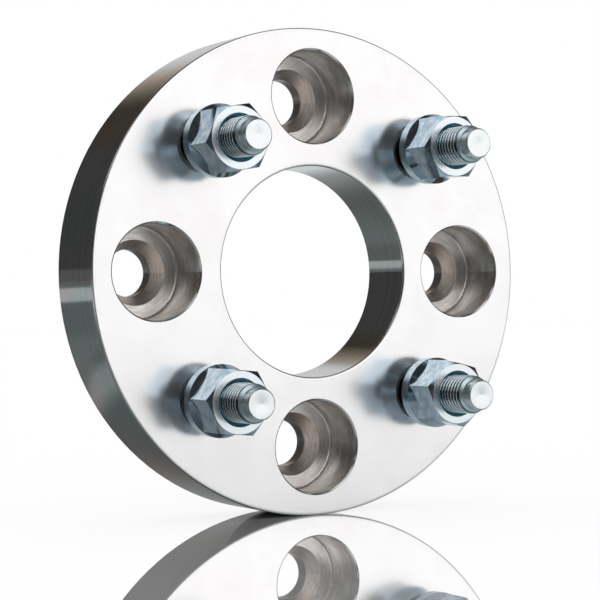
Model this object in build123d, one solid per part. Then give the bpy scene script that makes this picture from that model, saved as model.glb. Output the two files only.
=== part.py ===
from build123d import *
import math
import os

os.makedirs("parts", exist_ok=True)

# A bolt-on wheel spacer: a turned aluminium disc that is bolted to the hub through four
# pocketed holes and carries four pressed-in studs, with a lug nut on each, for the wheel.
# All sizes are in millimetres. The spacer stands as on a vehicle: its axis lies along Y, +Z is
# up, the wheel face with the studs looks along -Y and the hub face looks along +Y.
# The origin is the centre of the bore in the hub face.

# Disc
disc_diameter = 150.0
disc_thickness = 25.0
rim_wheel_chamfer = 1.0
rim_hub_chamfer = 1.0

# Centre bore, which seats on the spigot of the hub. Its wide hub-side chamfer clears the
# root of the spigot.
bore_diameter = 65.1
bore_wheel_chamfer = 1.0
bore_hub_chamfer = 5.0

# Holes for the hub bolts: a deep pocket that takes the nut and its socket, a conical seat
# and a through hole.
hub_bolt_count = 4
hub_bolt_circle = 108.0
pocket_diameter = 28.8
pocket_depth = 15.5
pocket_mouth_chamfer = 0.5
pocket_corner_radius = 0.6
seat_mouth_diameter = 20.0
seat_angle = 60.0
bolt_hole_diameter = 14.5
bolt_hole_chamfer = 0.4

# Wheel studs, pressed in from the hub side, halfway between the holes. Their holes are
# countersunk in the wheel face.
stud_circle = 108.0
thread_diameter = 12.0
thread_pitch = 1.5
thread_depth_per_pitch = 0.6495
stud_reach = 33.7
pilot_diameter = 9.3
pilot_length = 3.5
thread_end_chamfer = 0.9
tip_chamfer = 0.5
stud_head_diameter = 18.0
stud_head_thickness = 3.5
stud_head_chamfer = 0.5
stud_head_side_clearance = 0.3
stud_head_sink = 0.5
serration_count = 24
serration_diameter = 13.1
serration_depth = 0.35
serration_length = 9.0
press_clearance = 0.02
countersink_diameter = 17.9
countersink_angle = 90.0

# Lug nuts: a hexagon over a round collar, with a conical end that seats in the wheel
nut_across_flats = 18.7
nut_height = 21.2
nut_face_diameter = 18.3
nut_chamfer_angle = 33.0
nut_mouth_diameter = 14.3
nut_mouth_depth = 2.0
collar_diameter = 21.8
collar_height = 3.35
collar_edge_chamfer = 0.3
shoulder_height = 2.45
nut_seat_height = 6.4
nut_seat_angle = 60.0

# How far past a face a cutter runs
overrun = 1.0

# The direction of each stud from the centre, as seen from the wheel side
stud_angles = {"upper_left": 135.0, "upper_right": 45.0, "lower_left": 225.0, "lower_right": 315.0}

# The nuts are only spun on by hand. Each has stopped at its own angle, counted from having a
# corner of the hexagon level with the axis, and with its end this far out of the wheel face.
nut_angles = {"upper_left": 9.5, "upper_right": 1.8, "lower_left": -5.4, "lower_right": -13.4}
nut_gaps = {"upper_left": 1.5, "upper_right": 0.1, "lower_left": 0.1, "lower_right": -0.1}

# Threads are drawn plain. Where a nut runs on a stud both are at the pitch diameter, so that
# they meet without sharing space, and the stud's bare end is at the full diameter.
thread_depth = thread_depth_per_pitch * thread_pitch
pitch_diameter = thread_diameter - thread_depth

# Everything is drawn with its axis along local Z and the wheel face at local zero, and then
# set upright by this plane.
wheel_face = Plane(origin=(0, -disc_thickness, 0), x_dir=(1, 0, 0), z_dir=(0, -1, 0))


def turned(outline):
    """A solid of revolution from a closed outline of (radius, height) points and arcs."""
    return revolve(Plane.XZ * make_face(outline), Axis.Z)


def on_circle(diameter, direction):
    """The place at this direction on a pitch circle."""
    angle = math.radians(direction)
    return Pos(diameter / 2 * math.cos(angle), diameter / 2 * math.sin(angle), 0)


def disc_blank():
    rim = disc_diameter / 2
    bore = bore_diameter / 2
    hub = -disc_thickness
    return turned(
        Polyline(
            (bore + bore_wheel_chamfer, 0),
            (rim - rim_wheel_chamfer, 0),
            (rim, -rim_wheel_chamfer),
            (rim, hub + rim_hub_chamfer),
            (rim - rim_hub_chamfer, hub),
            (bore + bore_hub_chamfer, hub),
            (bore, hub + bore_hub_chamfer),
            (bore, -bore_wheel_chamfer),
            close=True,
        )
    )


def bolt_hole_cutter():
    pocket = pocket_diameter / 2
    mouth = pocket + pocket_mouth_chamfer + overrun
    seat = seat_mouth_diameter / 2
    hole = bolt_hole_diameter / 2
    seat_end = -pocket_depth - (seat - hole) / math.tan(math.radians(seat_angle / 2))
    back = -disc_thickness
    corner = (pocket - pocket_corner_radius, pocket_corner_radius - pocket_depth)
    wall = Polyline(
        (0, overrun),
        (mouth, overrun),
        (pocket, -pocket_mouth_chamfer),
        (pocket, corner[1]),
    )
    bottom_corner = CenterArc(corner, pocket_corner_radius, 0, -90)
    floor_and_hole = Polyline(
        (corner[0], -pocket_depth),
        (seat, -pocket_depth),
        (hole, seat_end),
        (hole, back + bolt_hole_chamfer),
        (hole + bolt_hole_chamfer + overrun, back - overrun),
        (0, back - overrun),
        (0, overrun),
    )
    return turned([wall, bottom_corner, floor_and_hole])


def stud_hole_cutter():
    hole = serration_diameter / 2 + press_clearance
    recess = stud_head_diameter / 2 + stud_head_side_clearance
    recess_depth = stud_head_thickness + stud_head_sink
    back = -disc_thickness
    mouth = countersink_diameter / 2
    slope = math.tan(math.radians(countersink_angle / 2))
    return turned(
        Polyline(
            (0, overrun),
            (mouth + overrun * slope, overrun),
            (hole, (hole - mouth) / slope),
            (hole, back + recess_depth),
            (recess, back + recess_depth),
            (recess, back - overrun),
            (0, back - overrun),
            close=True,
        )
    )


def make_disc():
    disc = disc_blank()
    bolt_hole = bolt_hole_cutter()
    for number in range(hub_bolt_count):
        disc -= on_circle(hub_bolt_circle, number * 360 / hub_bolt_count) * bolt_hole
    stud_hole = stud_hole_cutter()
    for direction in stud_angles.values():
        disc -= on_circle(stud_circle, direction) * stud_hole
    return disc


def make_stud(bare_from):
    """A stud whose thread is bare from this height above the wheel face up."""
    head = stud_head_diameter / 2
    head_back = stud_head_sink - disc_thickness
    head_seat = head_back + stud_head_thickness
    root = serration_diameter / 2 - serration_depth
    shank = pitch_diameter / 2
    thread = thread_diameter / 2
    pilot = pilot_diameter / 2
    pilot_start = stud_reach - pilot_length
    body = turned(
        Polyline(
            (0, head_back),
            (head - stud_head_chamfer, head_back),
            (head, head_back + stud_head_chamfer),
            (head, head_seat),
            (root, head_seat),
            (root, head_seat + serration_length),
            (shank, head_seat + serration_length),
            (shank, bare_from),
            (thread, bare_from),
            (thread, pilot_start - thread_end_chamfer),
            (pilot, pilot_start),
            (pilot, stud_reach - tip_chamfer),
            (pilot - tip_chamfer, stud_reach),
            (0, stud_reach),
            close=True,
        )
    )
    return body + serrations(root, head_seat)


def serrations(root, start):
    """The ring of ridges that grips the disc, on the shank just past the head."""
    crest = serration_diameter / 2
    half_pitch = math.pi * root / serration_count
    ridge = make_face(
        Polyline(
            (root - serration_depth, -half_pitch),
            (crest, 0),
            (root - serration_depth, half_pitch),
            close=True,
        )
    )
    ring = Circle(root) + PolarLocations(0, serration_count) * ridge
    return extrude(Pos(0, 0, start) * ring, serration_length)


def make_nut(turn):
    collar = collar_diameter / 2
    corner = nut_across_flats / math.sqrt(3)
    face = nut_face_diameter / 2
    bore = pitch_diameter / 2
    mouth = nut_mouth_diameter / 2
    seat_end = collar - nut_seat_height * math.tan(math.radians(nut_seat_angle / 2))
    corner_drop = (corner - face) * math.tan(math.radians(nut_chamfer_angle))
    collar_front = nut_seat_height + collar_height
    base = turned(
        Polyline(
            (0, 0),
            (seat_end, 0),
            (collar - collar_edge_chamfer, nut_seat_height - collar_edge_chamfer),
            (collar, nut_seat_height),
            (collar, collar_front),
            (nut_across_flats / 2, collar_front + shoulder_height),
            (0, collar_front + shoulder_height),
            close=True,
        )
    )
    hexagon = Rot(0, 0, turn) * RegularPolygon(corner, 6)
    prism = extrude(Pos(0, 0, nut_seat_height) * hexagon, nut_height - nut_seat_height)
    rounding = turned(
        Polyline(
            (0, 0),
            (corner, 0),
            (corner, nut_height - corner_drop),
            (face, nut_height),
            (0, nut_height),
            close=True,
        )
    )
    opening = turned(
        Polyline(
            (0, -overrun),
            (bore, -overrun),
            (bore, nut_height - nut_mouth_depth),
            (mouth, nut_height),
            (mouth, nut_height + overrun),
            (0, nut_height + overrun),
            close=True,
        )
    )
    return base + (prism & rounding) - opening


nodes = {"spacer_disc": make_disc()}
for corner, direction in stud_angles.items():
    place = on_circle(stud_circle, direction)
    gap = nut_gaps[corner]
    nodes["stud_" + corner] = place * make_stud(gap + nut_height)
    nodes["lug_nut_" + corner] = place * Pos(0, 0, gap) * make_nut(nut_angles[corner])

for node_name, solid in nodes.items():
    export_step(wheel_face * solid, os.path.join("parts", node_name + ".step"))
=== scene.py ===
import math

import bmesh
import bpy
from mathutils import Matrix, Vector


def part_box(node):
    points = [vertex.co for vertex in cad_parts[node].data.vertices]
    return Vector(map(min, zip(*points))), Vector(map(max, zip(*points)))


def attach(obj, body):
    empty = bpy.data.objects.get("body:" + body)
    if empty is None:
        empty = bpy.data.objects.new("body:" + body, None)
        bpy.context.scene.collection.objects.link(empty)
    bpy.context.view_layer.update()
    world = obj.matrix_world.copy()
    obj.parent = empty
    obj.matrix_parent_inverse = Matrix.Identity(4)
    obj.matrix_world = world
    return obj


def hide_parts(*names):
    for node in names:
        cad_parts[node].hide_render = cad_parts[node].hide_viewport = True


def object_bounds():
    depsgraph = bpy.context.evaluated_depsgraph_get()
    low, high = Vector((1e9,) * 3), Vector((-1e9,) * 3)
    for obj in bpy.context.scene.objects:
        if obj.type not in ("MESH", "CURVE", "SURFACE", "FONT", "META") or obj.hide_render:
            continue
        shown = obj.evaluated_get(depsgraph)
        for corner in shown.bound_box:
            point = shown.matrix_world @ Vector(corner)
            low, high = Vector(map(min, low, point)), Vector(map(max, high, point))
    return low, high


# The looks of a bolt-on wheel spacer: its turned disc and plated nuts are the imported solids
# with their finishes, and its studs are made here with their threads. Lengths are in metres.
# The wheel face looks along -Y, and heights over it are counted along -Y.

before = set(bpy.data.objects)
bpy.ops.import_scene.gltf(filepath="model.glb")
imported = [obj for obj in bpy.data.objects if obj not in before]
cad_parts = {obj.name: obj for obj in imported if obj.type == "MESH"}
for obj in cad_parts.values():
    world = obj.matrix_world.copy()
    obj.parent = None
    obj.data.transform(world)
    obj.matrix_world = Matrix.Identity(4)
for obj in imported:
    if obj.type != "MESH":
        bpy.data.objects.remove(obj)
bounds_at_start = [list(corner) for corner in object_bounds()]
CORNERS = ("upper_left", "upper_right", "lower_left", "lower_right")

# Disc
WHEEL_FACE = -0.025
THICKNESS = 0.025
RIM_RADIUS = 0.075
BORE_RADIUS = 0.03255
BOLT_CIRCLE = 0.108
POCKET_RADIUS = 0.0144
POCKET_MOUTH = 0.0149
SEAT_RADIUS = 0.0100
HOLE_EDGE = 0.0073
COUNTERSINK_EDGE = 0.0092

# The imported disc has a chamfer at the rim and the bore, and two thin rings make it a smaller,
# rounded edge. The outer ring stays a hair inside the rim, so that the disc isn't wider.
EDGE_CHAMFER = 0.001
RIM_ROUNDING = 0.0006
BORE_ROUNDING = 0.0007
ROUNDING_SEGMENTS = 5
EDGE_STEPS = 264
HAIR = 0.000001

# Studs. Heights are over the wheel face.
HEAD_BACK = -0.0245
HEAD_SEAT = -0.021
HEAD_RADIUS = 0.009
HEAD_CHAMFER = 0.0005
SERRATION_CREST = 0.00655
SERRATION_ROOT = 0.0062
SERRATION_COUNT = 24
SERRATION_END = -0.012
SHANK_RADIUS = 0.00551
STEP_LENGTH = 0.0001
THREAD_CREST = 0.00586
THREAD_ROOT = 0.0050
THREAD_PITCH = 0.0015
THREAD_END = 0.0293
PILOT_START = 0.0302
PILOT_RADIUS = 0.00465
TIP_HEIGHT = 0.0337
TIP_CHAMFER = 0.0005
DIMPLE_RADIUS = 0.0005
DIMPLE_DEPTH = 0.00015
STUD_OFFSET = BOLT_CIRCLE / 2 * math.cos(math.pi / 4)
STUD_STEPS = 144
RINGS_PER_TURN = 20
CONE_RINGS = 16

# The thread's flat crest and the run of each flank, as shares of a turn
CREST_SHARE = 0.24
FLANK_SHARE = 0.28

# Nuts
NUT_MOUTH_DEPTH = 0.002
NUT_MOUTH_RADIUS = 0.00715
NUT_BORE_RADIUS = 0.005513

# Edges sharper than this stay sharp
SHARP_ANGLE = math.radians(28)

# How softly one finish of the disc changes into the next
SOFT = 0.0001

# Table
TABLE_REACH = 4.0
TABLE_MIRROR = 0.86

# The camera's heading, as a share of X and of Y
HEADING_X = 0.507
HEADING_Y = 0.862

# The lamps that metal sees in the surround: strength, azimuth, elevation, and the angles at
# which each starts to fade and ends. Azimuth 0 is behind the disc and 90 is on its right.
LAMPS = (
    (0.58, 30.4, 0, 9, 36),
    (1.00, 148, 4, 22, 36),
    (1.00, 178, 42, 20, 38),
    (0.45, -140, 48, 8, 24),
    (0.70, -60, 42, 8, 18),
    (0.42, 52, 30, 14, 38),
)
FAINT_LAMP = (22, 32, 6, 19)
FAINT_LIGHT = 0.16
WARM_PATCH = (4, 29, 7, 16)
DARK_LIGHT = 0.042
SKIRTING_LIGHT = 0.085

WHITE = (1, 1, 1, 1)
BLACK = (0, 0, 0, 1)


class Nodes:
    """The node tree of one material or of the world, from empty."""

    def __init__(self, owner):
        owner.use_nodes = True
        self.tree = owner.node_tree
        self.tree.nodes.clear()

    def add(self, kind, settings=None, sockets=None, output=0):
        """Any node: its settings are set first, then the values or links of its sockets."""
        node = self.tree.nodes.new("ShaderNode" + kind)
        for name, value in (settings or {}).items():
            setattr(node, name, value)
        for name, value in (sockets or {}).items():
            if isinstance(value, Wire):
                self.tree.links.new(value.socket, node.inputs[name])
            else:
                node.inputs[name].default_value = value
        return Wire(self, node.outputs[output]) if node.outputs else node

    def mix(self, factor, low, high):
        """A colour between two others. The node's colour sockets come after its other kinds."""
        return self.add("Mix", {"data_type": "RGBA"}, {0: factor, 6: low, 7: high}, output=2)

    def split(self, vector):
        """The X, Y and Z of a vector."""
        return [self.add("SeparateXYZ", sockets={0: vector}, output=axis) for axis in range(3)]

    def join(self, x, y, z):
        """A vector from its X, Y and Z."""
        return self.add("CombineXYZ", sockets={0: x, 1: y, 2: z})

    def clouds(self, place, scale, detail, roughness):
        """Noise that changes in every direction."""
        sockets = {"Vector": place, "Scale": scale, "Detail": detail, "Roughness": roughness}
        return self.add("TexNoise", sockets=sockets)

    def lines(self, along, scale, detail, roughness):
        """Noise that changes along one value only, as the marks of a lathe do."""
        sockets = {"W": along, "Scale": scale, "Detail": detail, "Roughness": roughness}
        return self.add("TexNoise", {"noise_dimensions": "1D"}, sockets)


class Wire:
    """An output socket. Arithmetic on it adds Math nodes."""

    def __init__(self, nodes, socket):
        self.nodes = nodes
        self.socket = socket

    def math(self, operation, *values):
        return self.nodes.add("Math", {"operation": operation}, dict(enumerate(values)))

    def __add__(self, other):
        return self.math("ADD", self, other)

    def __radd__(self, other):
        return self.math("ADD", other, self)

    def __sub__(self, other):
        return self.math("SUBTRACT", self, other)

    def __rsub__(self, other):
        return self.math("SUBTRACT", other, self)

    def __mul__(self, other):
        return self.math("MULTIPLY", self, other)

    def __rmul__(self, other):
        return self.math("MULTIPLY", other, self)

    def __truediv__(self, other):
        return self.math("DIVIDE", self, other)

    def __pow__(self, other):
        return self.math("POWER", self, other)

    def absolute(self):
        return self.math("ABSOLUTE", self)

    def lesser(self, other):
        return self.math("MINIMUM", self, other)

    def greater(self, other):
        return self.math("MAXIMUM", self, other)

    def step(self, low, high):
        """0 below low, 1 above high and smooth between; the other way round if low is above high."""
        settings = {"interpolation_type": "SMOOTHSTEP"}
        return self.nodes.add("MapRange", settings, {0: self, 1: low, 2: high, 3: 0.0, 4: 1.0})


def hypot(a, b):
    return (a * a + b * b) ** 0.5


def distance_from_stud(x, z):
    """The distance from the axis of the nearest stud."""
    return hypot(x.absolute() - STUD_OFFSET, z.absolute() - STUD_OFFSET)


def finish_metal(nodes, colour, roughness, height, distance, strength):
    """Closes a metal's tree with its shader."""
    bump = nodes.add("Bump", sockets={"Strength": strength, "Distance": distance, "Height": height})
    shader = nodes.add("BsdfPrincipled", sockets={
        "Base Color": colour, "Metallic": 1.0, "Roughness": roughness, "Normal": bump})
    nodes.add("OutputMaterial", sockets={"Surface": shader})


def turned_aluminium():
    """Bare aluminium: satin faces, a finely grooved rim and bore, and milled pockets."""
    material = bpy.data.materials.new("turned_aluminium")
    nodes = Nodes(material)
    place = nodes.add("TexCoord", output="Object")
    x, y, z = nodes.split(place)
    facing = nodes.split(nodes.add("TexCoord", output="Normal"))[1].absolute()
    depth = y - WHEEL_FACE
    radius = hypot(x, z)
    from_stud = distance_from_stud(x, z)

    # The four pockets lie on the X and Z axes
    across = x.absolute().greater(z.absolute()) - BOLT_CIRCLE / 2
    beside = x.absolute().lesser(z.absolute())
    from_hole = hypot(across, beside)
    around_hole = across.math("ARCTAN2", beside, across)

    # Where each finish is: 1 there and 0 elsewhere
    on_wheel_face = depth.step(2 * SOFT, SOFT)
    on_hub_face = depth.step(THICKNESS - 2 * SOFT, THICKNESS - SOFT)
    on_face = on_wheel_face + on_hub_face
    off_face = 1 - on_face
    near_edge = depth.step(EDGE_CHAMFER + 2 * SOFT, EDGE_CHAMFER + SOFT)
    on_chamfer = off_face * near_edge * facing.step(0.60, 0.66)
    in_pocket = from_hole.step(POCKET_MOUTH + SOFT, POCKET_MOUTH - SOFT) * off_face * (1 - on_chamfer)
    on_pocket_wall = in_pocket * from_hole.step(POCKET_RADIUS - 4 * SOFT, POCKET_RADIUS - SOFT)
    on_pocket_floor = in_pocket - on_pocket_wall
    in_seat = from_hole.step(SEAT_RADIUS + SOFT, SEAT_RADIUS - 2 * SOFT)
    in_hole = from_hole.step(HOLE_EDGE + SOFT, HOLE_EDGE)
    on_countersink = off_face * from_stud.step(COUNTERSINK_EDGE + SOFT, COUNTERSINK_EDGE - SOFT)
    on_walls = off_face * (1 - in_pocket)

    # Grooves of the lathe run round the rim, the bore and the face
    grooves = nodes.lines(depth, 5200.0, 3.0, 0.7)
    bands = nodes.lines(depth, 640.0, 3.0, 0.65)
    rings = nodes.lines(radius, 3600.0, 2.0, 0.6)
    mottle = nodes.clouds(place, 70.0, 4.0, 0.6)
    tints = nodes.clouds(nodes.join(depth * 60, z * 75, x * 6), 1.0, 2.0, 0.5)

    # Marks of the milling cutter run round the pocket and break off, and stains follow them
    milled = nodes.clouds(nodes.join(around_hole * 2.4, depth * 1500, from_hole * 1500), 1.0, 5.0, 0.7)
    stain = nodes.clouds(nodes.join(around_hole * 2.0, depth * 260, from_hole * 260), 1.0, 3.0, 0.6)
    stained = stain.step(0.3, 0.7)

    face_colour = nodes.mix(mottle.step(0.3, 0.7), (0.95, 0.93, 0.925, 1), (1.0, 0.99, 0.99, 1))

    # The rim has greenish and reddish clouds, the bore is greyer, and both have darker bands
    tint = nodes.mix(tints.step(0.42, 0.58), (0.74, 0.85, 0.84, 1), (1.0, 0.89, 0.88, 1))
    tint = nodes.mix(radius.step(0.05, 0.04), tint, (0.84, 0.88, 0.85, 1))
    wall_colour = nodes.mix(bands.step(0.35, 0.65), (0.56, 0.66, 0.60, 1), (1.0, 0.96, 0.96, 1))
    wall_colour = nodes.mix(0.6, wall_colour, tint)
    wall_colour = nodes.mix(0.3 * grooves.step(0.35, 0.65), wall_colour, (0.62, 0.62, 0.60, 1))

    # The pockets are browner than the rest, with painted shade in the seat and the darkest painted shade
    # in the through hole
    pocket_wall = nodes.mix(stained, (0.60, 0.55, 0.51, 1), (0.93, 0.90, 0.87, 1))
    pocket_floor = nodes.mix(stained, (0.86, 0.82, 0.79, 1), (0.97, 0.95, 0.93, 1))
    # Painted shade deep in the pocket: the seat a little darker, the through hole darkest
    pocket_floor = nodes.mix(in_seat, pocket_floor, (0.84, 0.78, 0.74, 1))
    pocket_floor = nodes.mix(in_hole, pocket_floor, (0.47, 0.42, 0.39, 1))
    pocket_colour = nodes.mix(on_pocket_floor, pocket_wall, pocket_floor)
    pocket_colour = nodes.mix(0.34 * milled.step(0.38, 0.62), pocket_colour, (0.30, 0.27, 0.25, 1))

    colour = nodes.mix(on_walls, nodes.mix(in_pocket, face_colour, pocket_colour), wall_colour)
    face_roughness = (0.205 + 0.03 * mottle) * on_face
    wall_roughness = (0.055 + 0.03 * bands) * on_walls
    pocket_roughness = (0.25 + 0.15 * milled) * in_pocket
    roughness = face_roughness + wall_roughness + pocket_roughness
    roughness = roughness.greater(0.14 * on_chamfer).greater(0.38 * on_countersink)
    height = grooves * (0.12 * on_walls) + milled * (1.6 * in_pocket) + rings * (0.07 * on_face)
    finish_metal(nodes, colour, roughness, height, 0.00001, 0.3)
    return material


def zinc_plate(name, dark, light, machined, groove_shade):
    """Bright zinc with a bluish passivation, cloudy from dark to light. Surfaces square to the axis
    have the machined colour; a stud's grooves have painted shade, its crests a painted highlight."""
    material = bpy.data.materials.new(name)
    nodes = Nodes(material)
    place = nodes.add("TexCoord", output="Object")
    x, y, z = nodes.split(place)
    from_stud = distance_from_stud(x, z)
    above_face = WHEEL_FACE - y
    facing = 0 - nodes.split(nodes.add("TexCoord", output="Normal"))[1]
    square = facing.step(0.92, 0.97)

    # The sloping mouth of a nut, which is bluer than the rest
    in_mouth = from_stud.step(NUT_MOUTH_RADIUS + 0.00001, NUT_MOUTH_RADIUS - 0.00004)
    past_bore = from_stud.step(NUT_BORE_RADIUS - 0.00004, NUT_BORE_RADIUS + 0.00001)
    mouth = in_mouth * facing.step(0.70, 0.66) * facing.step(0.55, 0.60) * past_bore

    # The thread has painted shade in its grooves and a painted highlight on its crests, and the
    # stud's bare end is duller
    on_pilot = above_face.step(THREAD_END - 0.0001, THREAD_END + 0.0002)
    on_thread = above_face.step(0.0, 0.001) * (1 - on_pilot)
    in_groove = from_stud.step(THREAD_CREST - 0.00006, THREAD_CREST - 0.00026) * on_thread
    past_flank = from_stud.step(THREAD_CREST - 0.00008, THREAD_CREST - 0.00003)
    on_crest = past_flank * from_stud.step(THREAD_CREST + 0.00003, THREAD_CREST + 0.00001) * on_thread

    cloud = nodes.clouds(place, 320.0, 4.0, 0.6)
    grain = nodes.clouds(place, 4200.0, 3.0, 0.6)
    rings = nodes.lines(from_stud, 5200.0, 2.0, 0.6)
    plate = nodes.mix(cloud.step(0.35, 0.65), dark, light)
    # Painted shade in the thread's grooves
    plate = nodes.mix(in_groove, plate, groove_shade)
    plate = nodes.mix(on_pilot, plate, (0.64, 0.76, 0.80, 1))
    # Painted highlight on the thread's crests
    plate = nodes.mix(on_crest, plate, (0.95, 0.97, 0.98, 1))
    colour = nodes.mix(mouth, nodes.mix(square, plate, machined), (0.22, 0.58, 0.74, 1))
    roughness = 0.05 + 0.06 * cloud + 0.5 * mouth + 0.16 * square + 0.25 * on_crest
    roughness = roughness + 0.22 * on_pilot * (1 - square)
    height = grain * (1 - square) + rings * (0.5 * square)
    finish_metal(nodes, colour, roughness, height, 0.000008, 0.25)
    return material


def turned(outline, steps):
    """A closed solid of revolution about the axis Y through the origin, from (radius, height) points."""
    bm = bmesh.new()
    verts = [bm.verts.new((radius, -height, 0.0)) for radius, height in outline]
    edges = [bm.edges.new(pair) for pair in zip(verts, verts[1:])]
    bmesh.ops.spin(bm, geom=verts + edges, cent=(0, 0, 0), axis=(0, -1, 0), angle=math.tau,
                   steps=steps, use_merge=True)
    bmesh.ops.remove_doubles(bm, verts=bm.verts, dist=1e-7)
    bmesh.ops.recalc_face_normals(bm, faces=bm.faces)
    return bm


def finish_piece(bm, name, material):
    """Makes a finished mesh a piece of the disc's body, smooth but for its sharp edges."""
    mesh = bpy.data.meshes.new(name)
    bm.to_mesh(mesh)
    bm.free()
    mesh.materials.append(material)
    mesh.set_sharp_from_angle(angle=SHARP_ANGLE)
    for polygon in mesh.polygons:
        polygon.use_smooth = True
    piece = bpy.data.objects.new(name, mesh)
    bpy.context.scene.collection.objects.link(piece)
    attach(piece, "root")
    return piece


def thread_height(share):
    """The thread's form over one turn, from 0 at the root to 1 at the crest."""
    flank = abs(share - 0.5) - CREST_SHARE / 2
    return max(0.0, min(1.0, 1 - flank / FLANK_SHARE))


def scale_radius(vert, factor):
    """Moves a point towards the axis Y or away from it."""
    vert.co.x *= factor
    vert.co.z *= factor


def cut_thread(bm, start, end):
    """Cuts a right-hand thread between two heights, and lets it run out where the stud is thinner."""
    for vert in bm.verts:
        height = -vert.co.y
        radius = math.hypot(vert.co.x, vert.co.z)
        if not start < height < end or radius < THREAD_ROOT * 0.8:
            continue
        turn = math.atan2(vert.co.z, vert.co.x) / math.tau
        share = (height / THREAD_PITCH - turn) % 1.0
        cut = THREAD_ROOT + (THREAD_CREST - THREAD_ROOT) * thread_height(share)
        scale_radius(vert, min(radius, cut) / radius)


def cut_serrations(bm):
    """Presses the neck's ring of ridges out of its plain root."""
    for vert in bm.verts:
        height = -vert.co.y
        radius = math.hypot(vert.co.x, vert.co.z)
        if not HEAD_SEAT + 1e-5 < height < SERRATION_END + 1e-5 or radius < SERRATION_ROOT - 1e-5:
            continue
        turn = math.atan2(vert.co.z, vert.co.x) / math.tau * SERRATION_COUNT
        ridge = 1 - abs((turn % 1.0) - 0.5) * 2
        wanted = SERRATION_ROOT + (SERRATION_CREST - SERRATION_ROOT) * ridge
        scale_radius(vert, wanted / radius)


def ring_heights(start, end, count):
    return [start + (end - start) * number / count for number in range(count + 1)]


def make_stud(corner, material):
    """A stud with its thread cut where it stands free of its nut."""
    node = "stud_" + corner
    low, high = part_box(node)
    centre = (low + high) / 2
    nut_low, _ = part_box("lug_nut_" + corner)
    bare = WHEEL_FACE - nut_low.y - NUT_MOUTH_DEPTH
    turns = (THREAD_END - bare) / THREAD_PITCH
    thread = ring_heights(bare, THREAD_END, round(turns * RINGS_PER_TURN))
    cone = ring_heights(THREAD_END, PILOT_START, CONE_RINGS)[1:]
    slope = (THREAD_CREST - PILOT_RADIUS) / (PILOT_START - THREAD_END)
    outline = [
        (0.0, HEAD_BACK),
        (HEAD_RADIUS - HEAD_CHAMFER, HEAD_BACK),
        (HEAD_RADIUS, HEAD_BACK + HEAD_CHAMFER),
        (HEAD_RADIUS, HEAD_SEAT),
        (SERRATION_ROOT, HEAD_SEAT),
        (SERRATION_ROOT, HEAD_SEAT + STEP_LENGTH),
        (SERRATION_ROOT, SERRATION_END),
        (SHANK_RADIUS, SERRATION_END + STEP_LENGTH),
        (SHANK_RADIUS, bare - 2 * STEP_LENGTH),
    ]
    outline += [(THREAD_CREST, height) for height in thread]
    outline += [(THREAD_CREST - (height - THREAD_END) * slope, height) for height in cone]
    outline += [
        (PILOT_RADIUS, TIP_HEIGHT - TIP_CHAMFER),
        (PILOT_RADIUS - TIP_CHAMFER, TIP_HEIGHT),
        (DIMPLE_RADIUS, TIP_HEIGHT),
        (0.0, TIP_HEIGHT - DIMPLE_DEPTH),
    ]
    bm = turned(outline, STUD_STEPS)
    cut_serrations(bm)
    cut_thread(bm, bare, PILOT_START - 9e-6)
    bmesh.ops.translate(bm, verts=bm.verts, vec=(centre.x, WHEEL_FACE, centre.z))
    piece = finish_piece(bm, "threaded_" + node, material)
    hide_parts(node)


def make_rounded_edge(name, corner_radius, outward, rounding, material):
    """Fills the chamfer of one edge of the wheel face, and rounds it over more tightly than that.
    Outward is 1 where the edge looks away from the axis, and -1 where it looks at it."""
    face_end = (corner_radius - outward * EDGE_CHAMFER, 0.0)
    outline = [face_end, (corner_radius, 0.0), (corner_radius, -EDGE_CHAMFER), face_end]
    bm = turned(outline, EDGE_STEPS)
    corner_verts = {
        vert for vert in bm.verts
        if abs(vert.co.y) < 1e-6 and abs(math.hypot(vert.co.x, vert.co.z) - corner_radius) < 1e-6
    }
    corner_edges = [edge for edge in bm.edges if corner_verts.issuperset(edge.verts)]
    bmesh.ops.bevel(bm, geom=corner_edges, offset=rounding, offset_type="OFFSET",
                    segments=ROUNDING_SEGMENTS, profile=0.5, affect="EDGES", material=-1)
    bmesh.ops.translate(bm, verts=bm.verts, vec=(0, WHEEL_FACE, 0))
    finish_piece(bm, name, material)


def dress(node, material):
    """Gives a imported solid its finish."""
    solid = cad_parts[node]
    if not solid.material_slots:
        solid.data.materials.append(material)
    for slot in solid.material_slots:
        slot.material = material


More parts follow.
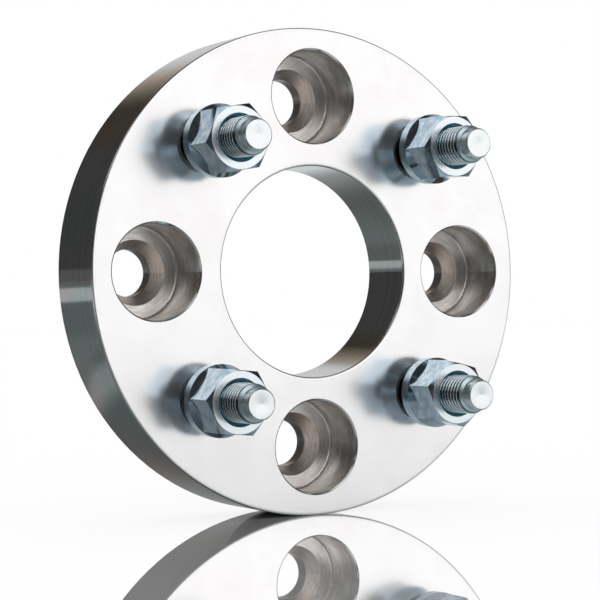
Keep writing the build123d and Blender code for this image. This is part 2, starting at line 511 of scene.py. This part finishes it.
def table_shade(x, y):
    """The painted light and shade that the metal sees on the table top, from the place on it."""
    distance = hypot(x, y)
    # Painted shadow of the disc: the table is darker within half a metre of it
    near = distance.step(0.5, 0.2)
    towards_camera = -HEADING_X * x - HEADING_Y * y
    beside_camera = HEADING_Y * x - HEADING_X * y
    mirrored = HEADING_X * x - HEADING_Y * y
    beside_mirrored = HEADING_Y * x + HEADING_X * y

    # In front: painted light under the wheel face and along its mirrored view, and painted shade towards
    # the camera and beneath the disc
    lit = (beside_mirrored.absolute() - 0.15 * mirrored).step(0.10, 0.05) * mirrored.step(0.0, 0.02)
    dim = (beside_camera.absolute() - 0.45 * towards_camera).step(0.01, -0.04)
    dim = dim * towards_camera.step(0.02, 0.06)
    under = y.step(-0.045, -0.025)
    foot = y.step(-0.09, -0.035) * (1 - under) * x.absolute().step(0.07, 0.03)
    shade = 0.72 - 0.47 * near + 0.25 * foot - 0.12 * near * under
    shade = (shade * (1 - dim) + 0.08 * dim).greater(0.52 * lit)

    # Behind: a wedge of painted shade on the left with a strip of painted light at its end, which the
    # rim sees, and two patches of painted light, which the bore's lower wall and the rim's lower left
    # see
    aside = x / y
    behind = y.step(0.0, 0.05)
    wedge = (aside + 0.44).absolute().step(0.50, 0.36) * behind
    wedge_shade = 0.11 + 0.04 * distance.step(0.10, 0.20) - 0.03 * distance.step(0.24, 0.34)
    strip = distance.step(0.74, 0.80) * distance.step(2.0, 1.7) * wedge
    past_bore = distance.step(0.12, 0.20) * distance.step(0.42, 0.30) * aside.step(0.0, 0.35) * behind
    past_rim = aside.step(-0.80, -0.95) * y.step(0.06, 0.09) * distance.step(0.20, 0.15)
    shade = (shade + 0.13 * past_bore + 0.18 * past_rim) * (1 - wedge)
    return shade + wedge_shade * wedge + 0.27 * strip, wedge


def make_floor():
    """A glossy white table top. The metal sees it as a grey one with painted paler and darker parts."""
    bm = bmesh.new()
    bmesh.ops.create_grid(bm, x_segments=1, y_segments=1, size=TABLE_REACH)
    mesh = bpy.data.meshes.new("table_top")
    bm.to_mesh(mesh)
    bm.free()
    floor = bpy.data.objects.new("table_top", mesh)
    floor.location.z = bounds_at_start[0][2]
    bpy.context.scene.collection.objects.link(floor)
    material = bpy.data.materials.new("glossy_table_top")
    nodes = Nodes(material)
    x, y, _ = nodes.split(nodes.add("TexCoord", output="Object"))
    shade, wedge = table_shade(x, y)
    matt = nodes.add("BsdfDiffuse", sockets={"Color": nodes.mix(shade, BLACK, (0.90, 0.98, 1.0, 1))})
    sheen = nodes.add("BsdfGlossy", sockets={"Color": WHITE, "Roughness": 0.04})
    fresnel = nodes.add("Fresnel", sockets={"IOR": 1.9}) * (1 - wedge)
    to_metal = nodes.add("MixShader", sockets={0: fresnel, 1: matt, 2: sheen})
    white = nodes.add("BsdfDiffuse", sockets={"Color": WHITE})
    polish = nodes.add("BsdfGlossy", sockets={"Color": WHITE, "Roughness": 0.0})
    to_camera = nodes.add("MixShader", sockets={0: TABLE_MIRROR, 1: white, 2: polish})
    is_camera = nodes.add("LightPath", output="Is Camera Ray")
    shader = nodes.add("MixShader", sockets={0: is_camera, 1: to_metal, 2: to_camera})
    nodes.add("OutputMaterial", sockets={"Surface": shader})
    mesh.materials.append(material)


def make_world():
    """A white surround. Metal sees soft lamps in it, and dark gaps between them."""
    world = bpy.data.worlds.new("studio")
    bpy.context.scene.world = world
    nodes = Nodes(world)
    direction = nodes.add("TexCoord", output="Generated")

    def toward(azimuth, elevation, inner, outer):
        """1 within the inner angle of a direction, 0 past the outer one."""
        a, e = math.radians(azimuth), math.radians(elevation)
        aim = (math.sin(a) * math.cos(e), math.cos(a) * math.cos(e), math.sin(e))
        settings = {"operation": "DOT_PRODUCT"}
        along = nodes.add("VectorMath", settings, {0: direction, 1: aim}, output="Value")
        return along.step(math.cos(math.radians(outer)), math.cos(math.radians(inner)))

    glows = [strength * toward(*aim) for strength, *aim in LAMPS]
    brightest = glows[0]
    for glow in glows[1:]:
        brightest = brightest.greater(glow)
    skirting = nodes.split(direction)[2].absolute().step(0.034, 0.026)
    light = DARK_LIGHT + brightest + FAINT_LIGHT * toward(*FAINT_LAMP)
    light = light.greater(SKIRTING_LIGHT * skirting)
    warmth = nodes.mix(toward(*WARM_PATCH), WHITE, (1.0, 0.80, 0.66, 1))
    to_metal = nodes.add("Background", sockets={"Color": warmth, "Strength": light})
    white = nodes.add("Background", sockets={"Color": WHITE, "Strength": 1.0})
    is_glossy = nodes.add("LightPath", output="Is Glossy Ray")
    is_sharp = nodes.add("LightPath", output="Is Singular Ray")
    shader = nodes.add("MixShader", sockets={0: is_glossy * (1 - is_sharp), 1: white, 2: to_metal})
    nodes.add("OutputWorld", sockets={"Surface": shader})


def make_camera():
    """Stands where the photograph was taken from."""
    data = bpy.data.cameras.new("camera")
    data.sensor_width = 36.0
    data.lens = 114.07
    data.clip_start = 0.01
    camera = bpy.data.objects.new("camera", data)
    heading, tilt, roll = (math.radians(angle) for angle in (30.434, 0.104, -0.654))
    camera.matrix_world = (
        Matrix.Translation((-0.3007, -0.5275, -0.0098))
        @ Matrix.Rotation(-heading, 4, "Z")
        @ Matrix.Rotation(math.pi / 2 + tilt, 4, "X")
        @ Matrix.Rotation(roll, 4, "Z")
    )
    bpy.context.scene.collection.objects.link(camera)
    bpy.context.scene.camera = camera


aluminium = turned_aluminium()
nut_zinc = zinc_plate(
    "zinc_plated_nut",
    dark=(0.34, 0.47, 0.58, 1),
    light=(0.59, 0.70, 0.78, 1),
    machined=(0.89, 0.94, 0.97, 1),
    groove_shade=(0.34, 0.47, 0.58, 1),
)
stud_zinc = zinc_plate(
    "zinc_plated_stud",
    dark=(0.60, 0.67, 0.70, 1),
    light=(0.76, 0.80, 0.81, 1),
    machined=(0.92, 0.94, 0.95, 1),
    # The stud's grooves get a near black painted shade
    groove_shade=(0.10, 0.16, 0.19, 1),
)
dress("spacer_disc", aluminium)
make_rounded_edge("rounded_rim_edge", RIM_RADIUS - HAIR, 1, RIM_ROUNDING, aluminium)
make_rounded_edge("rounded_bore_edge", BORE_RADIUS, -1, BORE_ROUNDING, aluminium)
for corner in CORNERS:
    dress("lug_nut_" + corner, nut_zinc)
    make_stud(corner, stud_zinc)
make_floor()
make_world()
make_camera()
bpy.context.scene.view_settings.view_transform = "Standard"
